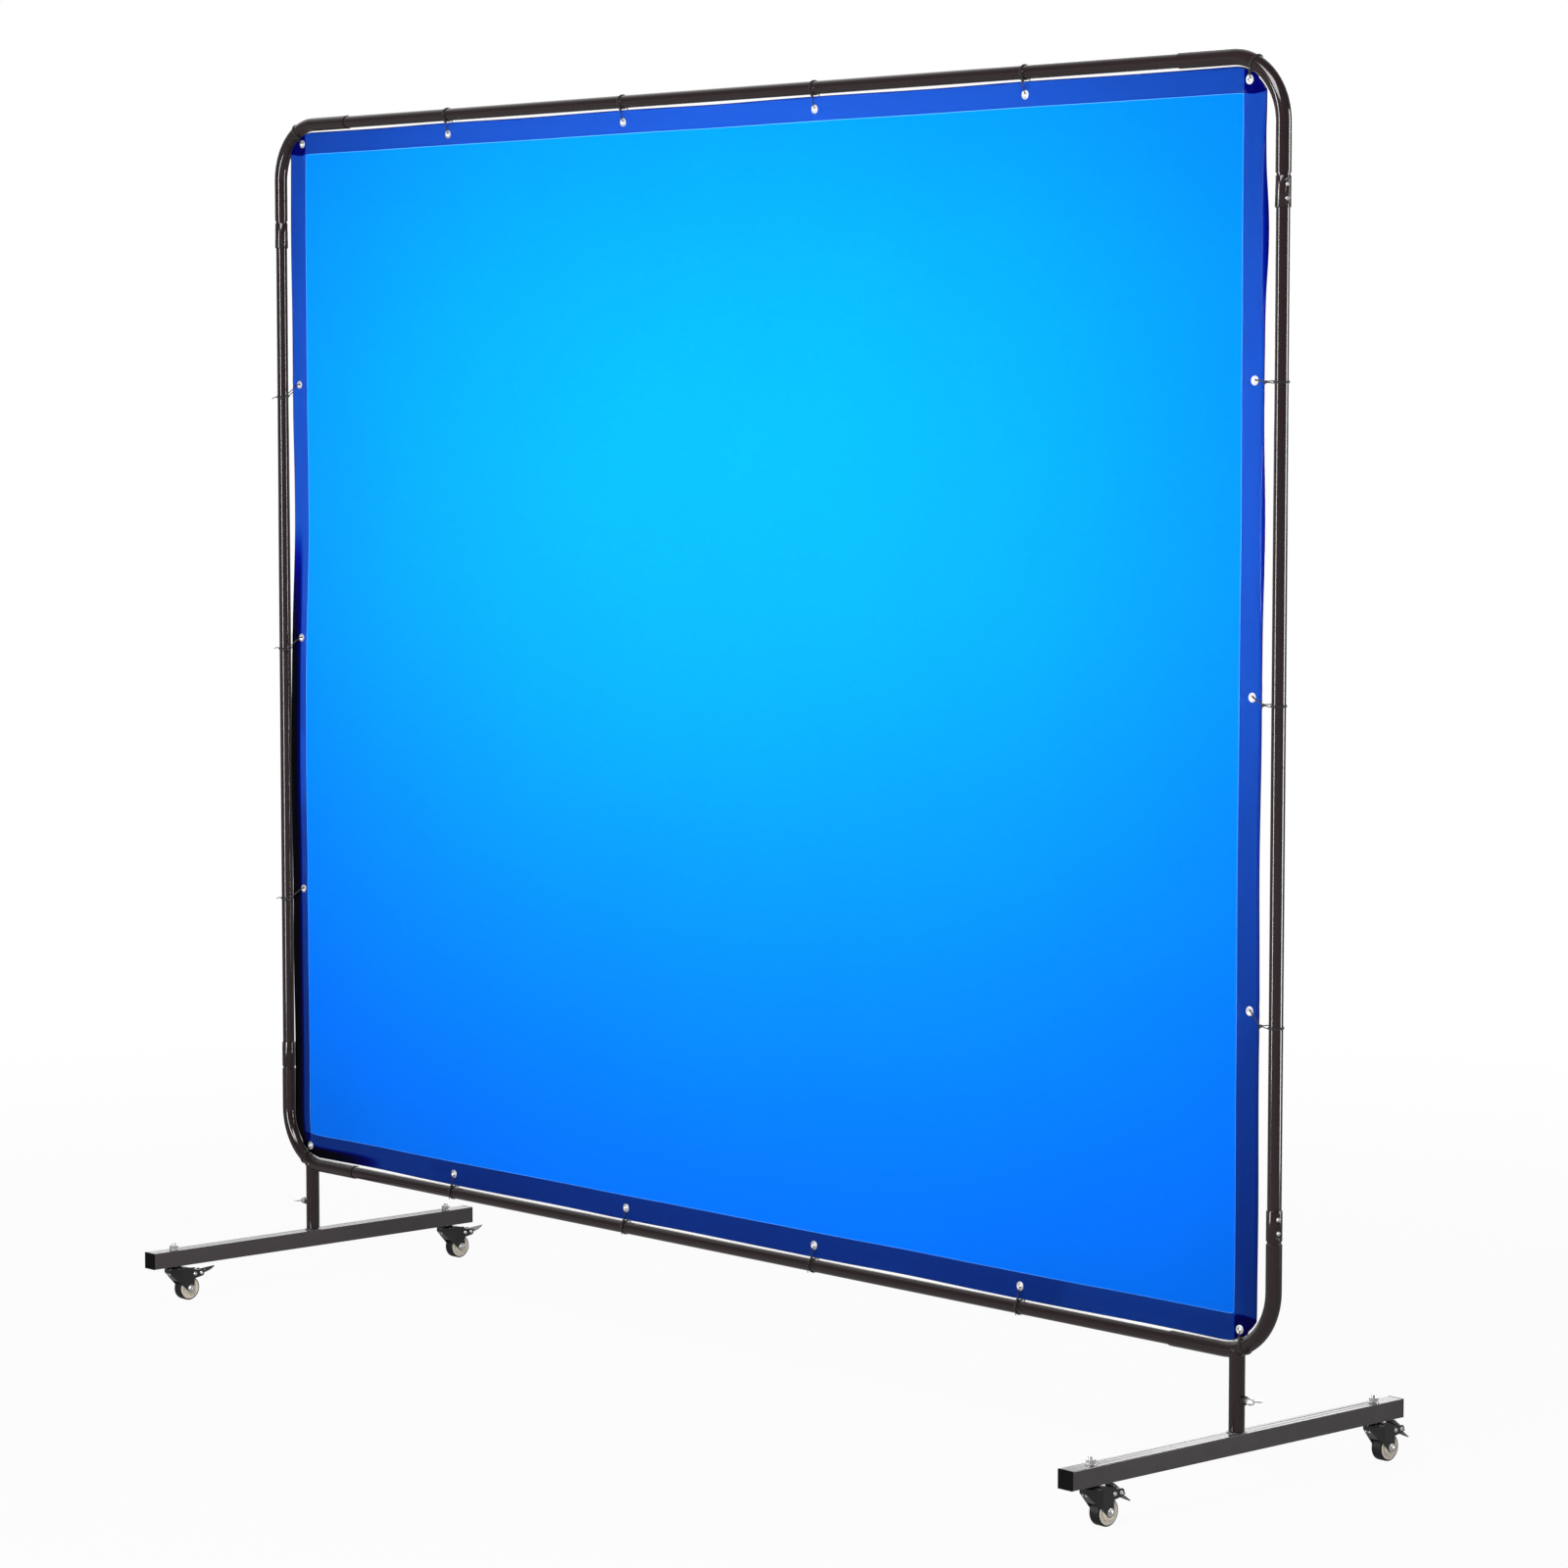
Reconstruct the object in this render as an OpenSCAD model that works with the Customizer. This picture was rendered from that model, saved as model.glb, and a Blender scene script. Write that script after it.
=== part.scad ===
// Welding curtain screen on two caster feet.
// X runs along the screen, -Y is its front, +Z is up, and the origin is on the
// floor under the middle of the frame. Millimetres.

/* [Screen frame] */
// Distance between the centrelines of the two uprights
frame_w = 2512; // [1800:2:3200]
// Distance between the centrelines of the two rails
frame_h = 1960; // [1700:2:2200]
// Height of the bottom rail's centreline above the floor
rail_z = 223; // [205:1:260]
// Centreline radius of the bent corners
bend_r = 102; // [80:1:140]
// Outside diameter of the corner pieces, collars and legs
corner_od = 25; // [25:0.5:28]
// Outside diameter of the rails and uprights
tube_od = 22; // [20:0.5:22]
// Wall thickness of every round tube
wall = 1.4; // [1.2:0.1:1.4]
// Straight length of a corner piece on its rail side
rail_leg = 107; // [60:1:160]
// Straight length of a corner piece on its upright side
upright_leg = 74; // [60:1:160]
// Length of tube that slides into a corner piece
plug_depth = 45; // [30:1:55]

/* [Joint collars] */
// Length of the collar on each end of an upright
collar_len = 47; // [40:1:60]
// Open groove between a collar and its corner piece
collar_gap = 4; // [2:1:8]
// Distance between the two screws of a collar
screw_pitch = 21; // [15:1:25]
// Shank diameter of the collar screws
screw_d = 4; // [3:0.5:5]
// Turn of the screws from square-outward towards the front
screw_turn = 18; // [0:1:30]

/* [Curtain] */
// Width of the vinyl sheet
sheet_w = 2432; // [1700:2:3000]
// Gap between the top rail and the sheet
gap_top = 4; // [2:1:20]
// Gap between the bottom rail and the sheet
gap_bottom = 3; // [2:1:20]
// Thickness of one layer of vinyl
vinyl = 0.8; // [0.4:0.1:1]
// Width of the folded and welded hem
hem_w = 44; // [36:1:60]
// Radius of the sheet's corners
sheet_corner_r = 60; // [55:1:70]
// Eyelets between the corners, along the top and along the bottom
row_eyelets = 4; // [2:1:6]
// Spacing of those eyelets
row_pitch = 487.7; // [300:0.1:500]
// Sideways offset of those eyelets from the middle of the sheet
row_shift = -16; // [-20:1:20]
// Eyelets between the corners on each side
side_eyelets = 3; // [2:1:5]
// Spacing of the side eyelets
side_pitch = 476; // [300:1:480]
// Height of the side eyelets' middle above the middle of the frame
side_lift = 21; // [-30:1:30]
// Outside diameter of an eyelet
eyelet_od = 15; // [14:0.5:17]
// Hole through an eyelet
eyelet_hole = 8; // [7:0.5:9]
// Distance from the eyelet rows to the sheet's top and bottom edges
row_inset = 20; // [16:1:24]
// Distance from the side eyelets to the sheet's side edges
side_inset = 13; // [11:1:20]
// Distance from the corner eyelets to the sheet's side edges
corner_inset = 28; // [26:1:34]
// Width of the ties
tie_w = 2; // [1.5:0.1:2.4]
// Thickness of the ties
tie_t = 1.6; // [1:0.1:1.8]
// How far a side tie slips down its upright below its eyelet
tie_drop = 22; // [0:1:30]

/* [Feet] */
// Distance of the legs and foot beams from the middle of the frame
leg_x = 1183; // [850:1:1500]
// Width and height of the square foot beams
beam_s = 30; // [28:1:32]
// Wall thickness of the foot beams
beam_wall = 1.5; // [1:0.1:2]
// Length of the foot beams without their end plugs
beam_len = 746; // [500:2:900]
// Height of the beams' underside above the floor
beam_z = 67; // [66:1:72]
// Height of the wing bolts above the beams
wing_bolt_h = 52; // [35:1:70]
// Thread diameter of the wing bolts
wing_bolt_d = 8; // [6:1:8]

/* [Casters] */
// Distance of the caster stems from each beam end
stem_inset = 53; // [30:1:90]
// Thread diameter of the caster stems
stem_d = 8; // [6:1:10]
// Wheel diameter
wheel_d = 44; // [38:1:46]
// Wheel width
wheel_w = 20; // [16:1:20]
// Distance of the wheel axle behind the stem
trail = 28; // [26:1:30]
// Swing of a brake pedal between released and locked
pedal_swing = 41; // [30:1:41]

/* [Hidden] */
$fn = 48;
eps = 0.5;          // overshoot of a cutting tool
fit = 0.08;         // radial clearance of a running fit
seat = 0.05;        // clearance of parts that are clamped or pressed together

mid_z = rail_z + frame_h / 2;
half_w = frame_w / 2;
half_h = frame_h / 2;
bend_x = half_w - bend_r;
bend_z = half_h - bend_r;
rail_end = bend_x - rail_leg + plug_depth;
corner_end_z = bend_z - upright_leg;
upright_end = corner_end_z + plug_depth;
collar_z = corner_end_z - collar_gap - collar_len / 2;
split = 45;         // where each bend is cut in two
socket_turn = 15;   // arc of the swaged end inside the other half
neck_turn = 3;      // arc over which the tube narrows to its swaged end
corner_bore_r = corner_od / 2 - wall;

sheet_top = half_h - tube_od / 2 - gap_top;
sheet_bottom = -half_h + tube_od / 2 + gap_bottom;
row_top = sheet_top - row_inset;
row_bottom = sheet_bottom + row_inset;
hem_y = vinyl + 0.1;
eyelet_wall = 0.5;
flange_t = 0.5;

leg_dx = leg_x - bend_x;
leg_line_z = mid_z - bend_z - sqrt(bend_r * bend_r - leg_dx * leg_dx);
beam_top = beam_z + beam_s;
foot_ring_t = 2.5;
leg_bottom = beam_top + foot_ring_t + 0.5;
spigot_od = corner_od - 2 * wall - 2 * fit;
spigot_top = beam_top + 90;
bolt_z = beam_top + wing_bolt_h;
boss_t = 6.5;
plug_cap = 2;

stem_y = beam_len / 2 - stem_inset;
washer_t = 1.2;
nut_t = 6.8;
shoulder_t = 1;     // shoulder washer of a caster stem, under the beam
race_t = 2.7;
race_gap = 0.6;     // running gap between a caster's race and its fork
fork_top = beam_z - shoulder_t - race_t - race_gap;
fork_t = 3;
spindle_r = 4;
wheel_r = wheel_d / 2;
rim_r = wheel_r - 2.6;
axle_r = 3;
axle_at = [trail, wheel_r];
cheek_in = 12;
cheek_t = 2;
cheek_out = cheek_in + cheek_t;
fold_y = 12;        // in front of this line the cheeks lean inward
nose_y = -17;       // front of the fork
nose_half = 7;      // half width of the fork at its front
web_z = fork_top - 7;
web_skin = 2.2;     // thickness of the sloping front web
rivet_r = 2.2;
pedal_at = [trail + 24, fork_top - 13.7];
strap_at = [trail + 10, fork_top - 13.7];
pedal_up = 4;       // slope of a released pedal
pedal_down = pedal_up - pedal_swing;

FRAME_BLACK = "#241d1e";
BEAM_BLACK = "#2a2526";
VINYL_BLUE = [0.0, 0.48, 1.0, 0.8];
HEM_BLUE = [0.10, 0.22, 0.72, 0.95];
SILVER = "#c9c9cc";
CREAM = "#e9e0cc";
BLACK = "#141414";

// ---------- shared shapes ----------

// Round tube from the origin along +Z
module pipe(length, od) {
    difference() {
        cylinder(h = length, d = od);
        translate([0, 0, -eps])
            cylinder(h = length + 2 * eps, d = od - 2 * wall);
    }
}

// Arc of round bar in the XZ plane, from +X towards +Z
module arc_bar(radius, bar_r, from, sweep) {
    rotate([90, 0, 0])
        rotate([0, 0, from])
            rotate_extrude(angle = sweep)
                translate([radius, 0])
                    circle(r = bar_r);
}

// Arc of round tube in the XZ plane, from +X towards +Z
module arc_tube(radius, outer_r, inner_r, from, sweep) {
    rotate([90, 0, 0])
        rotate([0, 0, from])
            rotate_extrude(angle = sweep)
                translate([radius, 0])
                    difference() {
                        circle(r = outer_r);
                        circle(r = inner_r);
                    }
}

// Children drawn for the top right corner, moved to any corner of the frame
module to_corner(side, level) {
    translate([0, 0, mid_z])
        mirror([side < 0 ? 1 : 0, 0, 0])
            mirror([0, 0, level < 0 ? 1 : 0])
                children();
}

// Bar along X through a point of the caster's YZ plane
module cross_bar(at, bar_r, half_length) {
    translate([-half_length, at[0], at[1]])
        rotate([0, 90, 0])
            cylinder(h = 2 * half_length, r = bar_r);
}

// Outline in the caster's YZ plane, extruded along X from x to x + thickness
module side_plate(x, thickness) {
    translate([x, 0, 0])
        rotate([90, 0, 90])
            linear_extrude(height = thickness)
                children();
}

// ---------- frame tubes ----------

module rail(level) {
    color(FRAME_BLACK)
        translate([-rail_end, 0, mid_z + level * half_h])
            rotate([0, 90, 0])
                pipe(2 * rail_end, tube_od);
}

module screw_places() {
    for (end = [-1, 1], k = [-0.5, 0.5])
        translate([0, 0, mid_z + end * (collar_z + k * screw_pitch)])
            rotate([0, 0, -screw_turn])
                rotate([0, 90, 0])
                    children();
}

module upright_blank() {
    difference() {
        translate([0, 0, mid_z - upright_end])
            pipe(2 * upright_end, tube_od);
        screw_places()
            cylinder(h = tube_od, d = screw_d + 2 * seat);
    }
}

module upright(side) {
    color(FRAME_BLACK)
        mirror([side < 0 ? 1 : 0, 0, 0])
            translate([half_w, 0, 0])
                upright_blank();
}

// Half of a bent corner: a straight leg up the local Z axis, then the bend
module bent_half(leg_length, turn) {
    arc_tube(bend_r, corner_od / 2, corner_bore_r, 0, turn);
    translate([bend_r, 0, -leg_length])
        pipe(leg_length, corner_od);
}

// Rail half of a bent corner, drawn as its mirror image about the corner's
// diagonal. Its swaged end enters the upright half
module corner_rail_half(side, level) {
    turn = 90 - split;
    color(FRAME_BLACK)
        to_corner(side, level)
            translate([bend_x, 0, bend_z])
                mirror([1, 0, -1]) {
                    bent_half(rail_leg, turn);
                    arc_tube(bend_r, corner_bore_r + wall / 2, corner_bore_r - wall / 2,
                        turn - neck_turn + 0.5, neck_turn - 1);
                    arc_tube(bend_r, corner_bore_r - seat, corner_bore_r - wall,
                        turn - neck_turn, neck_turn + socket_turn);
                }
}

// Upright half of a bent corner
module corner_side_half(side, level) {
    gap_turn = 0.3; // hairline between the two halves
    color(FRAME_BLACK)
        to_corner(side, level)
            translate([bend_x, 0, bend_z])
                bent_half(upright_leg, split - gap_turn);
}

// Slip-on collars that stop the uprights at the right depth, two screws each
module joint_collars() {
    color(FRAME_BLACK)
        for (side = [-1, 1])
            mirror([side < 0 ? 1 : 0, 0, 0])
                translate([half_w, 0, 0])
                    difference() {
                        for (end = [-1, 1])
                            translate([0, 0, mid_z + end * collar_z - collar_len / 2])
                                pipe(collar_len, corner_od);
                        screw_places()
                            cylinder(h = tube_od, d = screw_d + 2 * seat);
                    }
}

module collar_screws() {
    head_r = screw_d * 0.85;
    shank_from = tube_od / 2 - 3;
    color(SILVER)
        for (side = [-1, 1])
            mirror([side < 0 ? 1 : 0, 0, 0])
                translate([half_w, 0, 0])
                    screw_places() {
                        translate([0, 0, shank_from])
                            cylinder(h = corner_od / 2 + seat - shank_from, d = screw_d);
                        translate([0, 0, corner_od / 2 + seat])
                            cylinder(h = 1.8, r1 = head_r, r2 = head_r * 0.7);
                    }
}

// ---------- curtain ----------

function row_x(k) = row_shift + (k - (row_eyelets - 1) / 2) * row_pitch;
function side_z(k) = side_lift + (k - (side_eyelets - 1) / 2) * side_pitch;
side_x = sheet_w / 2 - side_inset;
corner_x = sheet_w / 2 - corner_inset;

// Eyelet centres in the sheet's own plane
EYELETS = concat(
    [for (k = [0 : row_eyelets - 1]) [row_x(k), row_top]],
    [for (k = [0 : row_eyelets - 1]) [row_x(k), row_bottom]],
    [for (s = [-1, 1], k = [0 : side_eyelets - 1]) [s * side_x, side_z(k)]],
    [for (s = [-1, 1], z = [row_top, row_bottom]) [s * corner_x, z]]
);

module rounded_outline(inset) {
    r = sheet_corner_r - inset;
    w = sheet_w / 2 - inset;
    square_w = w - r;
    top = sheet_top - inset;
    bottom = sheet_bottom + inset;
    translate([-square_w, bottom])
        square([2 * square_w, top - bottom]);
    translate([-w, bottom + r])
        square([2 * w, top - bottom - 2 * r]);
    for (x = [-square_w, square_w], y = [bottom + r, top - r])
        translate([x, y])
            circle(r = r);
}

module eyelet_holes() {
    for (p = EYELETS)
        translate(p)
            circle(d = eyelet_hole + 2 * eyelet_wall + 2 * seat);
}

// One layer in the screen's plane, its front face at y
module vinyl_layer(y) {
    translate([0, y + vinyl, mid_z])
        rotate([90, 0, 0])
            linear_extrude(height = vinyl)
                children();
}

module curtain_sheet() {
    color(VINYL_BLUE)
        vinyl_layer(-vinyl / 2)
            difference() {
                rounded_outline(0);
                eyelet_holes();
            }
}

// The edge of the vinyl, folded to the back and welded all round
module curtain_hem() {
    inner_w = sheet_w - 2 * hem_w;
    inner_h = sheet_top - sheet_bottom - 2 * hem_w;
    color(HEM_BLUE)
        vinyl_layer(hem_y - vinyl / 2)
            difference() {
                rounded_outline(0.5);
                translate([-inner_w / 2, sheet_bottom + hem_w])
                    square([inner_w, inner_h]);
                eyelet_holes();
            }
}

module eyelets() {
    barrel_r = eyelet_hole / 2;
    front = -vinyl / 2 - seat - flange_t;
    back = hem_y + vinyl / 2 + seat;
    color(SILVER)
        for (p = EYELETS)
            translate([p[0], 0, mid_z + p[1]])
                rotate([-90, 0, 0])
                    rotate_extrude() {
                        translate([barrel_r, front])
                            square([eyelet_wall, back + flange_t - front]);
                        translate([barrel_r, front])
                            square([eyelet_od / 2 - barrel_r, flange_t]);
                        translate([barrel_r, back])
                            square([eyelet_od / 2 - barrel_r, flange_t]);
                    }
}

// Outline of a strap loop: two circles and the band between them
module loop_outline(big, small, drop) {
    lean = asin((big - small) / drop);
    reach = 0.98 * [cos(lean), -sin(lean)]; // the band starts just inside the circles
    low = [0, -drop];
    flip = [[-1, 0], [0, 1]];
    circle(r = big);
    translate(low)
        circle(r = small);
    polygon([big * reach, low + small * reach, low + small * flip * reach, big * flip * reach]);
}

// Closed tie: round a tube on the local X axis and through an eyelet that lies
// reach below it
module tie_loop(tube_r, reach) {
    big = tube_r + 0.5;
    small = 2.2;
    drop = reach - 1;
    rotate([90, 0, 90])
        translate([0, 0, -tie_w / 2])
            linear_extrude(height = tie_w)
                difference() {
                    loop_outline(big + tie_t, small + tie_t, drop);
                    loop_outline(big, small, drop);
                }
}

module row_ties() {
    for (k = [0 : row_eyelets - 1]) {
        translate([row_x(k), 0, half_h])
            tie_loop(tube_od / 2, half_h - row_top);
        translate([row_x(k), 0, -half_h])
            rotate([180, 0, 0])
                tie_loop(tube_od / 2, half_h + row_bottom);
    }
}

module side_ties() {
    across = half_w - side_x;
    slope = atan2(tie_drop, across);
    for (s = [0, 1], k = [0 : side_eyelets - 1])
        mirror([s, 0, 0])
            translate([half_w, 0, side_z(k) - tie_drop])
                rotate([0, 90 + slope, 0])
                    tie_loop(tube_od / 2 / cos(slope), across / cos(slope));
}

module corner_ties() {
    for (side = [-1, 1], level = [-1, 1]) {
        dx = corner_x - bend_x;
        dz = (level > 0 ? row_top : -row_bottom) - bend_z;
        reach = bend_r - sqrt(dx * dx + dz * dz);
        mirror([side < 0 ? 1 : 0, 0, 0])
            mirror([0, 0, level < 0 ? 1 : 0])
                translate([bend_x, 0, bend_z])
                    rotate([0, atan2(dx, dz), 0])
                        translate([0, 0, bend_r])
                            tie_loop(corner_od / 2 + 0.5, reach);
    }
}

module curtain_ties() {
    color(BLACK)
        translate([0, 0, mid_z]) {
            row_ties();
            side_ties();
            corner_ties();
        }
}

// ---------- legs and wing bolts ----------

// Leg tube, saddled to the underside of the bent corner above it
module leg(side) {
    top = leg_line_z - 4; // stops short of the corner's widest line
    color(FRAME_BLACK)
        difference() {
            translate([side * leg_x, 0, leg_bottom])
                pipe(top - leg_bottom, corner_od);
            translate([side * leg_x, 0, bolt_z])
                rotate([0, side * 90, 0])
                    cylinder(h = corner_od, d = wing_bolt_d + 0.6);
            translate([side * bend_x, 0, mid_z - bend_z])
                arc_bar(bend_r, corner_od / 2 + seat, side > 0 ? 270 : 180, 90);
        }
}

// Hex nuts welded over the legs' bolt holes
module leg_nuts() {
    across = 13;
    bore_d = wing_bolt_d + 2 * fit;
    color(FRAME_BLACK)
        for (side = [-1, 1])
            translate([side * (leg_x + corner_od / 2 - 0.9), 0, bolt_z])
                rotate([0, side * 90, 0])
                    difference() {
                        cylinder(h = boss_t + 0.9, r = across / 2 / cos(30), $fn = 6);
                        translate([0, 0, -eps])
                            cylinder(h = boss_t + 0.9 + 2 * eps, d = bore_d);
                        rotate([0, -side * 90, 0])
                            translate([-side * (corner_od / 2 - 0.9), 0, -across])
                                cylinder(h = 2 * across, d = corner_od + 2 * seat);
                    }
}

// Wing bolt along the local Z axis, its tip at the spigot
module wing_bolt(side) {
    tip = spigot_od / 2 + 0.15;
    hub_from = corner_od / 2 + boss_t + 7;
    hub_t = 7;
    wing_t = 2.5;
    color(SILVER)
        translate([side * leg_x, 0, bolt_z])
            rotate([0, side * 90, 0]) {
                translate([0, 0, tip])
                    cylinder(h = hub_from + 1 - tip, d = wing_bolt_d);
                translate([0, 0, hub_from])
                    cylinder(h = hub_t, r1 = 6.2, r2 = 5);
                translate([-wing_t / 2, 0, 0])
                    rotate([90, 0, 90])
                        linear_extrude(height = wing_t)
                            for (m = [0, 1])
                                mirror([m, 0])
                                    wing_outline(hub_from);
            }
}

module wing_outline(hub_from) {
    tip_r = 5;
    translate([11, hub_from + 10])
        circle(r = tip_r);
    polygon([
        [0, hub_from + 1], [5, hub_from + 1],
        [11 + tip_r, hub_from + 9], [7, hub_from + 12.5], [4, hub_from + 7], [0, hub_from + 6]
    ]);
}

// ---------- feet ----------

module foot_beam(side) {
    inner = beam_s - 2 * beam_wall;
    color(BEAM_BLACK)
        translate([side * leg_x, 0, beam_z])
            difference() {
                translate([-beam_s / 2, -beam_len / 2, 0])
                    cube([beam_s, beam_len, beam_s]);
                translate([-inner / 2, -beam_len / 2 - eps, beam_wall])
                    cube([inner, beam_len + 2 * eps, inner]);
                for (y = [-stem_y, stem_y])
                    translate([0, y, -eps])
                        cylinder(h = beam_s + 2 * eps, d = stem_d + 2 * seat);
            }
}

// Upright spigot that the leg slips over, welded to the beam through its ring
module foot_spigot(side) {
    color(FRAME_BLACK)
        translate([side * leg_x, 0, beam_top + seat]) {
            difference() {
                cylinder(h = spigot_top - beam_top, d = spigot_od);
                translate([0, 0, -eps])
                    cylinder(h = spigot_top - beam_top + 2 * eps, d = spigot_od - 2 * wall);
            }
            difference() {
                cylinder(h = foot_ring_t, r1 = corner_od / 2 + 2, r2 = corner_od / 2);
                translate([0, 0, -eps])
                    cylinder(h = foot_ring_t + 2 * eps, d = spigot_od - 2 * wall);
            }
        }
}

module end_plugs(side) {
    stub = beam_s - 2 * beam_wall - 2 * seat;
    stub_len = 14;
    color(BLACK)
        for (end = [-1, 1])
            translate([side * leg_x, end * (beam_len / 2 + seat), beam_z + beam_s / 2])
                rotate([-end * 90, 0, 0]) {
                    translate([-beam_s / 2, -beam_s / 2, 0])
                        cube([beam_s, beam_s, plug_cap]);
                    translate([-stub / 2, -stub / 2, -stub_len])
                        cube([stub, stub, stub_len + 1]);
                }
}

module to_stems(side) {
    for (end = [-1, 1])
        translate([side * leg_x, end * stem_y, 0])
            children();
}

// Threaded stem, shoulder and headed spindle of a caster
module caster_stem() {
    stem_top = beam_top + washer_t + nut_t + 4.5;
    shoulder_top = beam_z - seat;
    head_top = fork_top - fork_t - 0.5;
    translate([0, 0, shoulder_top - shoulder_t / 2])
        cylinder(h = stem_top - shoulder_top + shoulder_t / 2, d = stem_d);
    translate([0, 0, shoulder_top - shoulder_t])
        cylinder(h = shoulder_t, r = 9);
    translate([0, 0, head_top - 1])
        cylinder(h = shoulder_top - 0.75 * shoulder_t - head_top + 1, r = spindle_r);
    translate([0, 0, head_top - 2.2])
        cylinder(h = 2.2, r1 = 5.5, r2 = 7);
}

module caster_stems(side) {
    color(SILVER)
        to_stems(side)
            caster_stem();
}

module stem_nuts(side) {
    nut_half = 7;
    color(SILVER)
        to_stems(side)
            translate([0, 0, beam_top + seat])
                difference() {
                    union() {
                        cylinder(h = washer_t, r = 8.7);
                        translate([0, 0, washer_t])
                            cylinder(h = nut_t, r = nut_half / cos(30), $fn = 6);
                    }
                    translate([0, 0, -eps])
                        cylinder(h = washer_t + nut_t + 2 * eps, d = stem_d + 2 * seat);
                }
}

// Dished cover of each caster's ball race, fixed on the stem above the fork
module upper_races(side) {
    color(BLACK)
        to_stems(side)
            translate([0, 0, fork_top + race_gap - 2 * seat])
                difference() {
                    cylinder(h = race_t, r1 = 16.5, r2 = 10.5);
                    translate([0, 0, -eps])
                        cylinder(h = race_t + 2 * eps, r = spindle_r + seat);
                }
}

// ---------- casters ----------

module to_caster(side, end) {
    translate([side * leg_x, end * stem_y, 0])
        children();
}

// Side outline of a fork cheek: y to the right, z upwards
module cheek_outline() {
    lug_r = 7.6;
    polygon([
        [nose_y, fork_top], [nose_y, web_z], [axle_at[0] - lug_r * 0.82, wheel_r - 4],
        [axle_at[0] + lug_r * 0.9, wheel_r - 3], [axle_at[0] + 8, pedal_at[1] - 9],
        [pedal_at[0] + 2, pedal_at[1] - 6], [pedal_at[0] + 2, pedal_at[1] + 6],
        [strap_at[0] + 3, pedal_at[1] + 7], [22, fork_top]
    ]);
    translate(axle_at)
        circle(r = lug_r);
    translate(pedal_at)
        circle(r = 6.3);
}

// Plan of the fork's pressed wall on the +X side, inside face at distance inner
module fork_plan(inner) {
    rear = pedal_at[0] + 10;
    lean = nose_half - cheek_out;
    polygon([
        [inner, rear], [inner, fold_y], [max(0, inner + lean), nose_y],
        [nose_half, nose_y], [cheek_out, fold_y], [cheek_out, rear]
    ]);
}

module cheek() {
    intersection() {
        side_plate(0, cheek_out + 1)
            cheek_outline();
        linear_extrude(height = fork_top)
            fork_plan(cheek_in);
    }
}

// Half of the sloping front web and the front of the top plate
module front_web() {
    run = 18;
    skin = web_skin * sqrt(2) - 1;
    intersection() {
        side_plate(-0.5, cheek_out + 1)
            polygon([
                [nose_y, fork_top], [nose_y, web_z], [nose_y + run, web_z - run],
                [nose_y + run + skin, web_z - run + 1], [nose_y + skin, web_z + 1], [nose_y + skin, fork_top]
            ]);
        translate([-0.5, 0, 0])
            linear_extrude(height = fork_top)
                fork_plan(0);
    }
}

module fork(side, end) {
    color(BLACK)
        to_caster(side, end)
            difference() {
                union() {
                    translate([0, 0, fork_top - fork_t])
                        cylinder(h = fork_t, r = 17.5);
                    translate([-cheek_out, fold_y, fork_top - fork_t])
                        cube([2 * cheek_out, 9, fork_t]);
                    for (m = [0, 1])
                        mirror([m, 0, 0]) {
                            cheek();
                            front_web();
                        }
                }
                translate([0, 0, fork_top - fork_t - eps])
                    cylinder(h = fork_t + 2 * eps, r = spindle_r + fit);
                cross_bar(axle_at, axle_r + seat, cheek_out + eps);
                cross_bar(pedal_at, rivet_r + seat, cheek_out + eps);
                cross_bar(strap_at, rivet_r + seat, cheek_out + eps);
                web_rivet_places()
                    cylinder(h = 8, r = 1.2 + seat, center = true);
            }
}

// Middles of the two rivets in the sloping front web, each along local Z
module web_rivet_places() {
    down = 4.2;
    sink = web_skin / 2 / sqrt(2);
    for (x = [-3.8, 3.8])
        translate([x, nose_y + down + sink, web_z - down + sink])
            rotate([135, 0, 0])
                children();
}

// Hollow rivet head on the outside of a cheek, its axis along local Z
module rivet_head() {
    head_r = 3.6;
    difference() {
        cylinder(h = 1.5, r1 = head_r, r2 = head_r * 0.7);
        translate([0, 0, 0.7])
            cylinder(h = 1, r = 1.1);
    }
}

// Cross rivet of the pedal, the two short strap rivets and the front web's rivets
module rivets(side, end) {
    color(SILVER)
        to_caster(side, end) {
            cross_bar(pedal_at, rivet_r, cheek_out + seat + 0.5);
            for (s = [0, 1], at = [pedal_at, strap_at])
                mirror([s, 0, 0])
                    translate([0, at[0], at[1]])
                        rotate([0, 90, 0]) {
                            translate([0, 0, cheek_out + seat])
                                rivet_head();
                            translate([0, 0, cheek_in - 0.3])
                                cylinder(h = cheek_t + seat + 0.5, r = rivet_r);
                        }
            web_rivet_places() {
                cylinder(h = 5, r = 1.2, center = true);
                translate([0, 0, web_skin / 2 + seat])
                    cylinder(h = 1.2, r1 = 2.3, r2 = 1.5);
            }
        }
}

module axle(side, end) {
    head_r = 6;
    dome = 3.6;
    washer = 1.4;
    color(SILVER)
        to_caster(side, end)
            for (s = [0, 1])
                mirror([s, 0, 0]) {
                    translate([0, axle_at[0], axle_at[1]])
                        rotate([0, 90, 0])
                            rotate_extrude() {
                                square([axle_r, cheek_out + 1]);
                                translate([0, cheek_out + seat])
                                    square([head_r + 0.8, washer]);
                                translate([0, cheek_out + seat + washer])
                                    intersection() {
                                        translate([0, -3])
                                            circle(r = dome + 3);
                                        square([head_r, dome]);
                                    }
                            }
                }
}

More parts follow.
